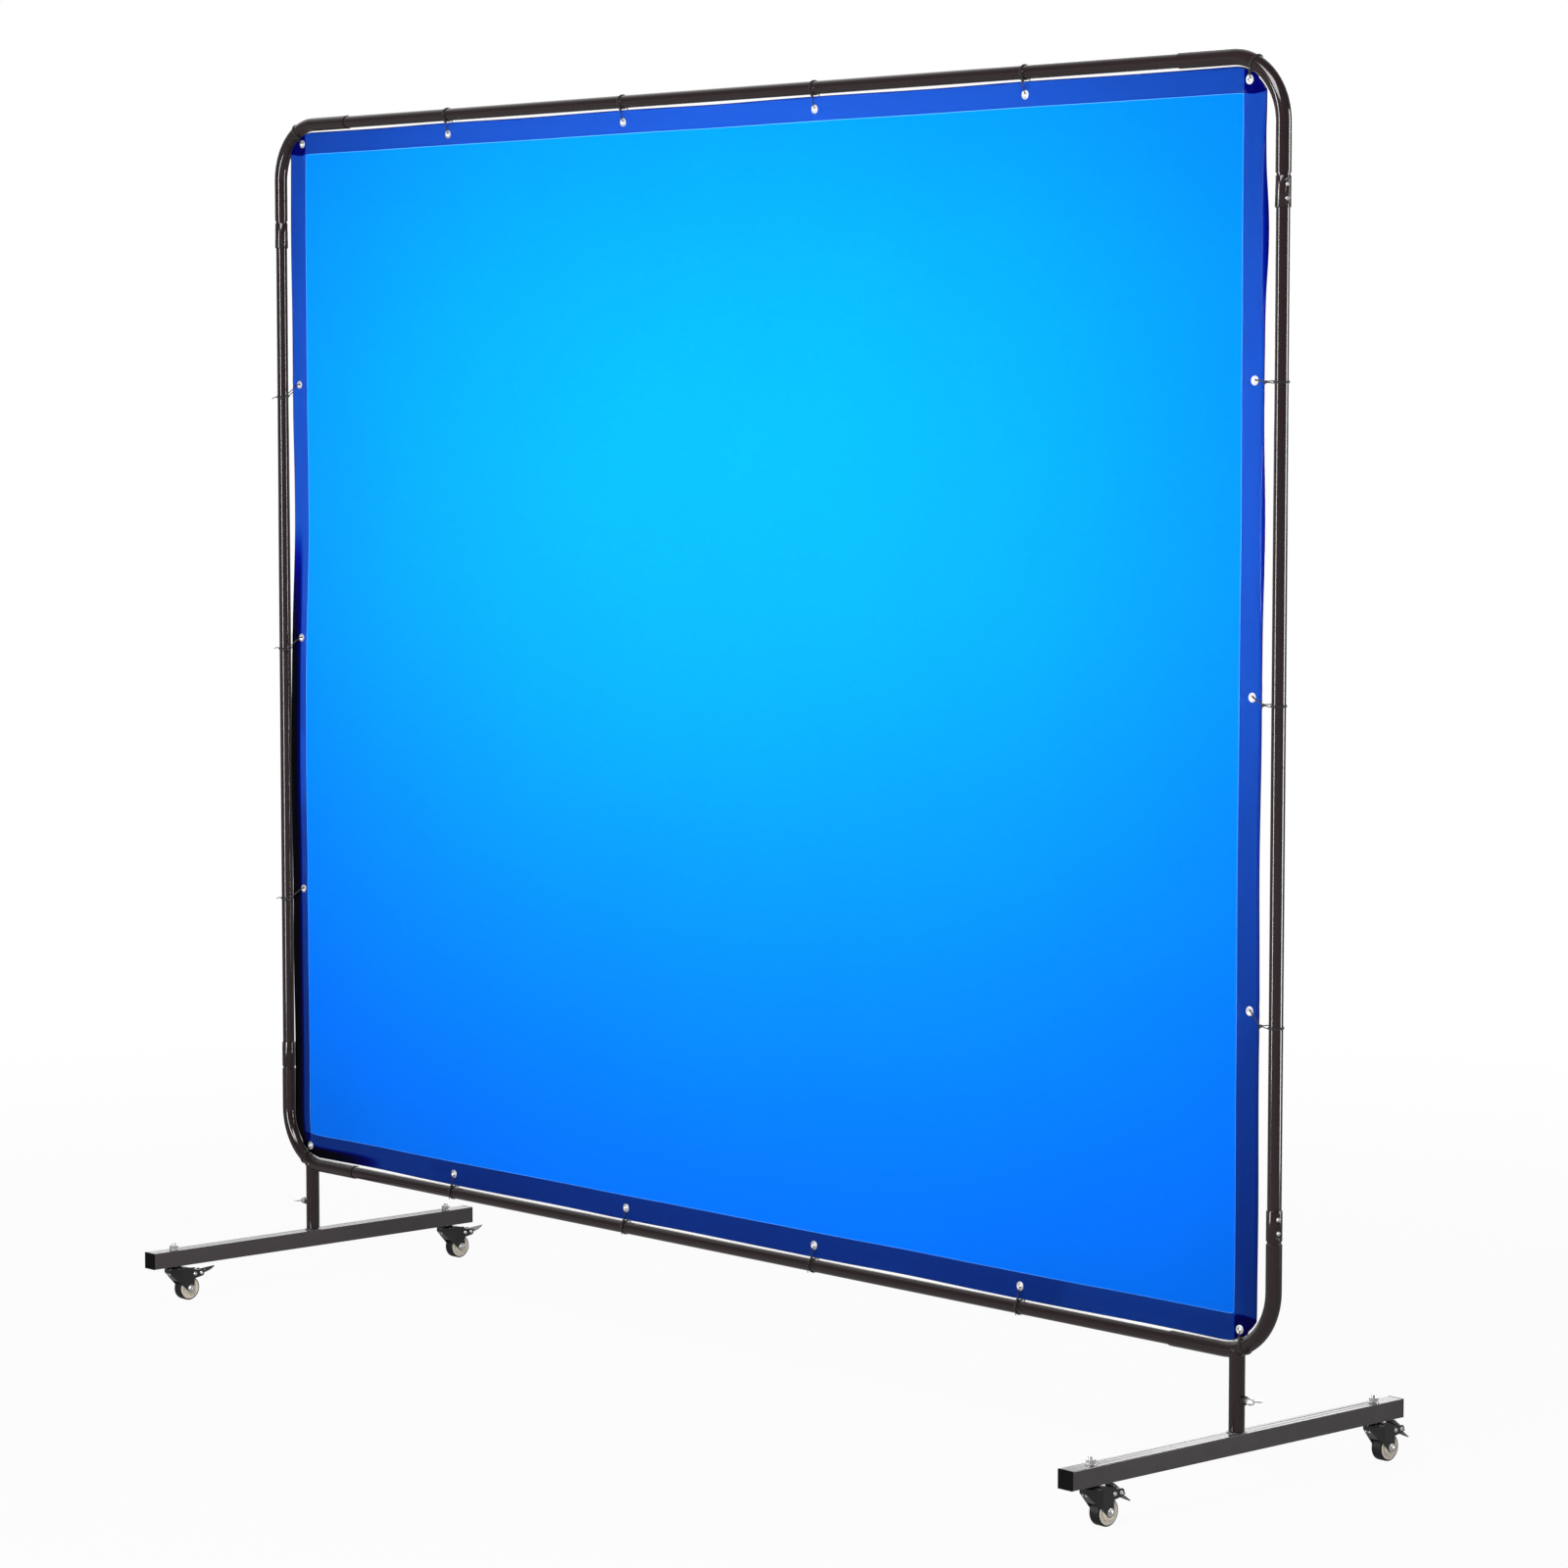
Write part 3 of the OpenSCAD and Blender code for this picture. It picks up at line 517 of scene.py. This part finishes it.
def curl_length(t):
    """How far the right edge curls to the back: most near the top corner, little low down."""
    high = max(0.0, t / HALF_H + 0.35)
    return (1 + ripple(t, SIDE_MARKS) * 7 * min(1.0, high)) * MM


def lower_left(t):
    """Share by which the left edge is drawn out to its tube: 0 in the upper half, 1 low down."""
    return smooth((0.25 - t / HALF_H) / 0.35)


def reach(s, t):
    """Half width of the hung sheet: wider than flat, as its side edges are drawn to the tubes."""
    return HALF_W + (10 * MM if s > 0 else (8 + 16 * lower_left(t)) * MM)


def hung_outline(s, t):
    """Place of a point of the flat sheet, with the edges and corners drawn to the tubes."""
    side, level = side_of(s), side_of(t)
    x = s + side * (reach(s, t) - HALF_W) * abs(s / HALF_W) ** 6
    z = t - level * EDGE_SAG * ripple(s, TOP_MARKS) * abs(t / HALF_H) ** 20
    # corners pulled in until they follow the bent tubes
    bend_z = (BEND_TOP if t > 0 else SHEET_MIDDLE.z * 2 - BEND_BOTTOM) - SHEET_MIDDLE.z
    a, b = abs(x) - BEND_X, abs(z) - bend_z
    if a > 0 and b > 0:
        out = math.hypot(a, b)
        edge = out * min((reach(s, t) - BEND_X) / a, (HALF_H - bend_z) / b)
        shrink = 1 - max(0.0, 1 - CORNER_REACH / edge) * (out / edge) ** 2
        x = side * (BEND_X + a * shrink)
        z = level * (bend_z + b * shrink)
    return x, z


def relief(s, t, x, z):
    """How far back the film lies: billows and waves, held flat and creased at the eyelets."""
    u, v = s / HALF_W, t / HALF_H
    near = 1.0
    creases = 0.0
    for ex, ez in EYELET_PLACES:
        dx, dz = x - ex, z - ez
        if abs(dx) < NEARBY and abs(dz) < NEARBY:
            r = math.hypot(dx, dz)
            near *= 1 - math.exp(-(r / CALM) ** 2)
            angle = math.atan2(dz, dx)
            spread = max(0.0, r - 9 * MM)
            creases += (CREASE * math.sin(7 * angle + ex * 9 + ez * 5)
                        * (1 - math.exp(-spread / (6 * MM))) * math.exp(-spread / (24 * MM)))
    bulge = (BILLOW * math.cos(math.pi * u / 2) * math.cos(math.pi * v / 2)
             + SWAY * math.sin(2.3 * u + 0.6) * math.sin(3.1 * v))
    held = min(1.0, (1 - abs(u)) * 9) * min(1.0, (1 - abs(v)) * 7)
    top = (TOP_WAVE * ripple(s, TOP_MARKS) * math.exp(-(HALF_H - abs(t)) / WAVE_DEPTH)
           * math.sin(9 * s + 2 * v))
    side = (SIDE_WAVE * ripple(t, SIDE_MARKS) * math.exp(-(HALF_W - abs(s)) / WAVE_DEPTH)
            * math.sin(5 * t))
    uneven = UNEVEN * noise.noise(Vector((s * 3, t * 3, 0.3)))
    return (bulge * held + top + side + uneven) * near + creases


def right_curl(t, past):
    """Curl of the right edge to the back, past from where it starts: its two shifts (outward and
    back) and the share of a half turn."""
    length = curl_length(t)
    fade = min(1.0, max(0.0, (HALF_H - abs(t) - 55 * MM) / (60 * MM)))
    flap = past + fade * max(0.0, length - CURL_FROM * 0.5) * past / CURL_FROM
    share = fade * min(1.0, length / FULL_CURL)
    angle = flap / CURL_R * share
    outward = CURL_R * math.sin(angle) * share + flap * (1 - share) * 0.6 - past
    return outward, CURL_R * (1 - math.cos(angle)), angle / math.pi


def sheet_point(s, t):
    """Place of a point of the vinyl, from its place on the flat sheet measured from its middle.
    Returns the point and the share of a half turn that it has curled through."""
    x, z = hung_outline(s, t)
    y = relief(s, t, x, z)
    turned = 0.0
    past = abs(s) - (HALF_W - CURL_FROM)
    if past > 0 and s < 0:
        y += BEHIND * lower_left(t) * (past / CURL_FROM) ** 2
    elif past > 0:
        outward, back, turned = right_curl(t, past)
        x += outward
        y += back
    return Vector((x, y, z)), turned


def into_hem(s, t):
    """Distances into the side hems and into the top and bottom hems, negative outside them."""
    return (max(s - (HALF_W - HEM["right"]), (HEM["left"] - HALF_W) - s),
            max(t - (HALF_H - HEM["top"]), (HEM["bottom"] - HALF_H) - t))


def layers_and_painted_shade_at(s, t, turned):
    """Extra layers of film: hems that overlap at the corners and curled edges; and painted shade,
    as extra layers that darken a band low on the left edge and along the bottom beside it."""
    # painted shade: a dark band along the lower left edge, and along the bottom near the left corner,
    # drawn as 12 extra layers of film
    painted_shade_band = smooth((30 * MM - (s + HALF_W)) / (16 * MM)) * lower_left(t)
    foot = smooth((22 * MM - (t + HALF_H)) / (12 * MM))
    foot *= smooth((260 * MM - (s + HALF_W)) / (200 * MM))
    overlap = 3.0 if min(into_hem(s, t)) > 0 else 0.0
    return overlap + 6.0 * turned + 12.0 * max(painted_shade_band, foot)


def marks_of(axis):
    """Flat-sheet places that end up at the eyelets, along one axis."""
    marks = {place[axis] for place in EYELET_PLACES}
    return marks | {side_of(m) * (abs(m) + CORNER_PULL) for m in (min(marks), max(marks))}


def vinyl_layer(name, offset, keep, finish, replaced):
    """One layer of film on the shared grid, moved back by offset, with holes at the eyelets."""
    columns = grid_lines(HALF_W, (HEM["left"], HEM["right"]), marks_of(0))
    rows = grid_lines(HALF_H, (HEM["bottom"], HEM["top"]), marks_of(1))
    points, film, weld = [], [], []
    for t in rows:
        for s in columns:
            place, turned = sheet_point(s, t)
            points.append(place)
            film.append(layers_and_painted_shade_at(s, t, turned))
            weld.append(max(into_hem(s, t)))
    width = len(columns)
    cells = []
    for j in range(len(rows) - 1):
        for i in range(width - 1):
            s, t = (columns[i] + columns[i + 1]) / 2, (rows[j] + rows[j + 1]) / 2
            first, above = j * width + i, (j + 1) * width + i
            cell = (first, first + 1, above + 1, above)
            centre = (points[first] + points[above + 1]) / 2
            hole = any(math.hypot(centre.x - a, centre.z - b) < HOLE_R for a, b in EYELET_PLACES)
            if keep(s, t) and not hole:
                cells.append(cell)
    used = sorted({i for cell in cells for i in cell})
    renumber = {old: new for new, old in enumerate(used)}
    shape = Shape()
    shape.add([points[i] + Vector((0, 0, SHEET_MIDDLE.z)) for i in used],
              [tuple(renumber[i] for i in cell) for cell in cells])
    obj = shape.piece(name, finish, "frame")
    label(obj, "film", [film[i] for i in used])
    label(obj, "weld", [weld[i] for i in used])
    normals = [v.normal.copy() for v in obj.data.vertices]
    back = 1 if sum(n.y for n in normals) > 0 else -1
    for vertex, normal in zip(obj.data.vertices, normals):
        vertex.co += normal * back * offset
    solid = obj.modifiers.new("thickness", "SOLIDIFY")
    solid.thickness = THICK
    solid.offset = 0
    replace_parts(obj, replaced)


def fold_edge():
    """Rounded fold that joins the sheet to its hem all round the edge."""
    across, upward = (int(2 * half / (12 * MM)) for half in (HALF_W, HALF_H))
    corners = ((-1, 1, across), (1, 1, upward), (1, -1, across), (-1, -1, upward))
    path = []
    for k, (side, level, steps) in enumerate(corners):
        next_side, next_level = corners[(k + 1) % 4][:2]
        for step in range(steps):
            share = step / steps
            path.append(sheet_point(HALF_W * (side + (next_side - side) * share),
                                    HALF_H * (level + (next_level - level) * share))[0])
    shift = Vector((0, FOLD_BACK, SHEET_MIDDLE.z))
    shape = Shape()
    shape.add(*sweep([p + shift for p in path], FOLD_R, closed=True))
    obj = shape.piece("curtain_fold_edge", "vinyl_hem", "frame")
    label(obj, "film", [0.4] * len(obj.data.vertices))


def curtain():
    vinyl_layer("curtain_window_sheet", 0.0, lambda s, t: True, "vinyl", "curtain_sheet")
    vinyl_layer("curtain_folded_hem", HEM_GAP, lambda s, t: max(into_hem(s, t)) > 0,
                "vinyl_hem", "curtain_hem")
    fold_edge()


# ---------- eyelets ----------

def eyelets():
    """Rolled eyelets: a lip on each face round a short barrel."""
    low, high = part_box("eyelets")
    front, back = low.y, high.y
    outer, hole = 7.5 * MM, 4.0 * MM
    lip = (outer - hole) / 2
    crown = 0.75 * MM
    profile = [(hole, front + 0.2 * MM)]
    profile += [(hole + lip + lip * math.cos(a), front + 0.35 * MM - crown * math.sin(a))
                for a in (math.pi - math.pi * k / 8 for k in range(9))]
    profile += [(outer, front + 0.7 * MM), (hole + 0.6 * MM, front + 0.8 * MM),
                (hole + 0.6 * MM, back - 0.7 * MM), (outer - 0.6 * MM, back - 0.5 * MM)]
    inner = lip - 0.5 * MM
    profile += [(hole + lip + inner * math.cos(a), back - 0.3 * MM + 0.45 * MM * math.sin(a))
                for a in (math.pi * k / 6 for k in range(7))]
    profile += [(hole, back - 0.4 * MM)]
    shape = Shape()
    for place in EYELETS:
        shape.add(*revolve(profile, Vector((place.x, 0, place.z)), (0, 1, 0), 28))
    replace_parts(shape.piece("rolled_eyelets", "eyelet", "frame", "zinc"), "eyelets")


# ---------- ties ----------

CORD_R = 0.85 * MM
CORD_SIDES = 7


def tie(shape, eyelet, centre, outward, along, tube_r, tails, edge=None):
    """Cord from an eyelet round a tube: two turns, a knot and two loose tails. centre is the point
    of the tube's centreline that the cord goes round. The knot is at the tube, or at edge. A tail
    is given by its directions outward, forward and along, and its length."""
    front = Vector((0, -1, 0))
    ring = tube_r + CORD_R

    def at(angle, shift, radius=ring):
        """Point round the tube: 0 faces inward to the curtain, 90 degrees the front."""
        a = math.radians(angle)
        round_tube = front * (radius * math.sin(a)) - outward * (radius * math.cos(a))
        return centre + round_tube + along * shift

    hole = eyelet + outward * 2.6 * MM
    knot = edge or at(28, 0.0, ring + 2.0 * MM)
    points = [hole + front * 0.5 * MM, hole + front * 2.6 * MM + along * 0.4 * MM]
    if edge is None:
        points += [knot - along * 1.2 * MM]
    else:
        points += [knot - outward * 1.5 * MM, knot + outward * 3 * MM - along * 0.8 * MM]
    points += [at(a, -2.0 * MM + 1.9 * MM * (a - 40) / 360) for a in range(40, 760, 30)]
    points += [at(320, 2.4 * MM, ring + 0.4 * MM)]
    if edge is not None:
        points += [knot + outward * 3 * MM + along * 0.8 * MM,
                   knot - outward * 2 * MM + along * 0.6 * MM,
                   hole + front * 2.2 * MM + along * 1.6 * MM]
    points += [hole - front * 3.4 * MM + along * 1.4 * MM, hole - front * 2.4 * MM,
               hole + front * 0.3 * MM]
    shape.add(*sweep(smooth_path(points), CORD_R, CORD_SIDES))
    # knot: two small turns across the strands
    for k in (-1, 1):
        start = knot + along * k * 0.9 * MM
        loop = [start + (outward * math.cos(a) * 2.0 + front * math.sin(a) * 1.7
                         + along * 0.7 * k * math.sin(2 * a)) * MM for a in round_places(8)]
        shape.add(*sweep(smooth_path(loop, 3, closed=True), CORD_R, CORD_SIDES, closed=True))
    droop = Vector((0, 0, -1))
    for lift, forward, sideways, length in tails:
        direction = (outward * lift + front * forward + along * sideways).normalized()
        path = [knot, knot + direction * length * 0.35,
                knot + direction * length * 0.72 + droop * length * 0.10 + along * 0.1 * length,
                knot + direction * length * 0.9 + droop * length * 0.34 + along * 0.25 * length]
        shape.add(*sweep(smooth_path(path, 5), lambda share: CORD_R * (1 - 0.35 * share ** 6),
                         CORD_SIDES))


def ties():
    shape = Shape()
    across = Vector((1, 0, 0))
    upward = Vector((0, 0, 1))
    for place in EYELETS:
        t = place.z - SHEET_MIDDLE.z
        eyelet = Vector((place.x, 0.4 * MM, place.z))
        side, level = side_of(place.x), side_of(t)
        on_row = abs(place.x) < HALF_W - EDGE_BAND
        on_side = abs(t) < HALF_H - 60 * MM
        curl = random.uniform(-0.4, 0.4)
        if on_row and level > 0:
            centre = Vector((place.x, 0, RAIL_TOP))
            tails = [(1.0, 0.55, 0.35 + curl, 26 * MM), (0.5, 0.9, -0.5, 11 * MM)]
            tie(shape, eyelet, centre, upward, across, TUBE_R, tails)
        elif on_row:
            centre = Vector((place.x, 0, RAIL_BOTTOM))
            tails = [(1.0, 0.75, 0.15 + curl, 21 * MM), (1.0, 0.9, -0.25, 15 * MM)]
            tie(shape, eyelet, centre, -upward, across, TUBE_R, tails)
        elif on_side:
            # the turns have slipped down the upright: least at the top right
            if side < 0:
                drop, tail, edge = 22 * MM, 30 * MM, None
            else:
                drop = 20 * MM if t < 0 else 10 * MM if t < 0.3 else 2 * MM
                tail = 9 * MM
                edge = Vector((reach(place.x, t) + 1.5 * MM, -2.2 * MM, place.z - drop))
            centre = Vector((side * UPRIGHT_X, 0, place.z - drop))
            tails = [(1.0, 0.4, 0.3 * curl, tail), (0.3, 1.0, -0.7, 10 * MM)]
            tie(shape, eyelet, centre, across * side, upward, TUBE_R, tails, edge)
        else:
            bend = Vector((side * BEND_X, 0, BEND_TOP if level > 0 else BEND_BOTTOM))
            outward = (Vector((place.x, 0, place.z)) - bend).normalized()
            along = outward.cross(Vector((0, 1, 0)))
            tails = [(0.3, 1.0, 0.8, 16 * MM), (-0.2, 1.0, -0.8, 12 * MM)]
            tie(shape, eyelet, bend + outward * BEND_R, outward, along, CORNER_R, tails)
    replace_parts(shape.piece("cord_ties", "tie_black", "frame"), "curtain_ties")


# ---------- welds ----------

LEG_BEAD = 1.7 * MM
FOOT_BEAD = 1.3 * MM
FOOT_BEAD_RING = 14.3 * MM  # radius of the bead round the spigot, on top of the foot beam


def weld_bead(name, path, radius, finish, body):
    """Closed bead with the small steps of a hand weld."""
    steps = len(path)
    shape = Shape()
    shape.add(*sweep(path, lambda share: radius * (1 + 0.16 * math.sin(share * steps * 1.3)),
                     closed=True))
    shape.piece(name, finish, body)


def welds():
    """Bead where each leg meets the bent corner above it, and round the foot of each spigot."""
    for side, name in zip((-1, 1), SIDES):
        leg = middle("leg_" + name)
        path = []
        for a in round_places(72):
            x, y = leg.x + CORNER_R * math.cos(a), CORNER_R * math.sin(a)
            out = BEND_R + math.sqrt(max(CORNER_R ** 2 - y * y, 0.0))
            drop = math.sqrt(out ** 2 - (x - side * BEND_X) ** 2)
            path.append(Vector((x, y, BEND_BOTTOM - drop)))
        weld_bead(f"leg_{name}_weld_bead", path, LEG_BEAD, "frame_black", "frame")
        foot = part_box("foot_spigot_" + name)[0].z + 0.4 * MM
        ring = [Vector((leg.x + FOOT_BEAD_RING * math.cos(a), FOOT_BEAD_RING * math.sin(a), foot))
                for a in round_places(60)]
        weld_bead(f"foot_{name}_weld_bead", ring, FOOT_BEAD, "beam_black", "foot_" + name)


# ---------- studio ----------

DIFFUSE_SHARE = 0.28        # brightness of the white room for diffuse light, against its view
MIRROR_SHARE = 0.22         # brightness of the floor in reflections
FLOOR_HALF = 60.0           # m

# Name, place, aim, size, watts, and the kinds of ray that don't see the light
LIGHTS = (
    ("back_glow", (0.0, 1.25, 1.56), (0.0, 0.0, 1.60), (2.4, 0.4), 87, ""),
    ("key_soft", (1.5, -3.6, 4.6), (0.2, 0.0, 0.8), (3.0, 2.0), 150, ""),
    ("strip_right", (3.6, 1.9, 1.3), (0.2, 0.0, 1.2), (0.55, 3.4), 75, "diffuse transmission"),
    ("strip_left", (-0.7, -3.9, 1.3), (0.2, 0.0, 1.2), (0.55, 3.4), 95, "diffuse transmission"),
    ("low_fill", (4.4, -4.6, 0.7), (0.2, 0.0, 0.15), (2.4, 0.6), 115, "glossy"),
    ("sky_card", (-3.4, 3.9, 2.3), (0.4, 0.0, 0.1), (6.0, 1.5), 45, "diffuse transmission"),
    ("rear_fill", (-2.0, 4.2, 3.2), (0.0, 0.0, 0.9), (2.6, 1.8), 34, ""),
)


def lights():
    """Area lights. The glow behind the sheet lights only the curtain and its eyelets."""
    for name, place, aim, size, watts, hidden in LIGHTS:
        data = bpy.data.lights.new(name, "AREA")
        data.shape = "RECTANGLE"
        data.size, data.size_y = size
        data.energy = watts
        obj = bpy.data.objects.new(name, data)
        bpy.context.scene.collection.objects.link(obj)
        obj.location = place
        obj.rotation_euler = (Vector(aim) - Vector(place)).to_track_quat("-Z", "Y").to_euler()
        for kind in ["camera"] + hidden.split():
            setattr(obj, "visible_" + kind, False)
        if name == "back_glow":
            lit = bpy.data.collections.new("lit_by_back_glow")
            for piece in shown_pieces():
                if piece.name.startswith(("curtain", "rolled")):
                    lit.objects.link(piece)
            obj.light_linking.receiver_collection = lit


def room():
    """White world: full in the camera's view, dimmer for diffuse light, and fading in reflections
    from the camera's far side to behind it."""
    n = Nodes(bpy.data.worlds.new("studio"))
    away = Vector((-math.sin(CAMERA_AZIMUTH), math.cos(CAMERA_AZIMUTH), 0.0))
    toward = n.node("VectorMath", {"operation": "DOT_PRODUCT"}, in0=n.add("TexCoord"), in1=away)
    fade = n.add("MapRange", {"interpolation_type": "SMOOTHSTEP"}, Value=toward.outputs["Value"],
                 From_Min=0.15, From_Max=0.85, To_Min=0.10, To_Max=1.0)
    rays = n.node("LightPath").outputs
    soft = n.scale(rays["Is Diffuse Ray"], 1.0, DIFFUSE_SHARE)
    seen = n.maths("MAXIMUM", rays["Is Camera Ray"], n.maths("MULTIPLY", fade, soft))
    background = n.add("Background", None, Color=WHITE, Strength=seen)
    bpy.context.scene.world = n.finish(background, "OutputWorld")


def floor():
    """White floor that takes soft shadows near the object and glows into the room further out."""
    n = material_nodes("studio_floor")
    place = n.node("NewGeometry").outputs["Position"]
    distance = n.node("VectorMath", {"operation": "LENGTH"}, in0=place).outputs["Value"]
    far = n.add("MapRange", {"interpolation_type": "SMOOTHSTEP"}, Value=distance,
                From_Min=1.5, From_Max=5.0, To_Min=0.95, To_Max=1.0)
    colour = n.mix(n.noise(6, 2), tone(WHITE, 0.86), tone(WHITE, 0.90))
    rays = n.node("LightPath").outputs
    strength = n.maths("MINIMUM", n.scale(rays["Is Diffuse Ray"], 1.0, DIFFUSE_SHARE),
                       n.scale(rays["Is Glossy Ray"], 1.0, MIRROR_SHARE))
    lit = n.add("BsdfDiffuse", None, Color=colour)
    glow = n.add("Emission", None, Color=WHITE, Strength=strength)
    shape = Shape()
    corners = ((-1, -1), (1, -1), (1, 1), (-1, 1))
    shape.add([(a * FLOOR_HALF, b * FLOOR_HALF, 0) for a, b in corners], [(0, 1, 2, 3)])
    material = n.finish(n.add("MixShader", None, in0=far, in1=lit, in2=glow))
    shape.place("studio_floor", material)


def camera():
    data = bpy.data.cameras.new("camera")
    data.lens = LENS
    data.sensor_width = SENSOR
    data.clip_end = 200
    obj = bpy.data.objects.new("camera", data)
    bpy.context.scene.collection.objects.link(obj)
    back = Vector((math.sin(CAMERA_AZIMUTH) * math.cos(CAMERA_ELEVATION),
                   -math.cos(CAMERA_AZIMUTH) * math.cos(CAMERA_ELEVATION),
                   math.sin(CAMERA_ELEVATION)))
    obj.location = CAMERA_PLACE
    obj.rotation_mode = "QUATERNION"
    obj.rotation_quaternion = (-back).to_track_quat("-Z", "Y")
    bpy.context.scene.camera = obj


finish_cad_nodes()
curtain()
eyelets()
ties()
welds()
room()
lights()
floor()
camera()
bpy.context.scene.view_settings.view_transform = "Standard"

bpy.context.view_layer.update()
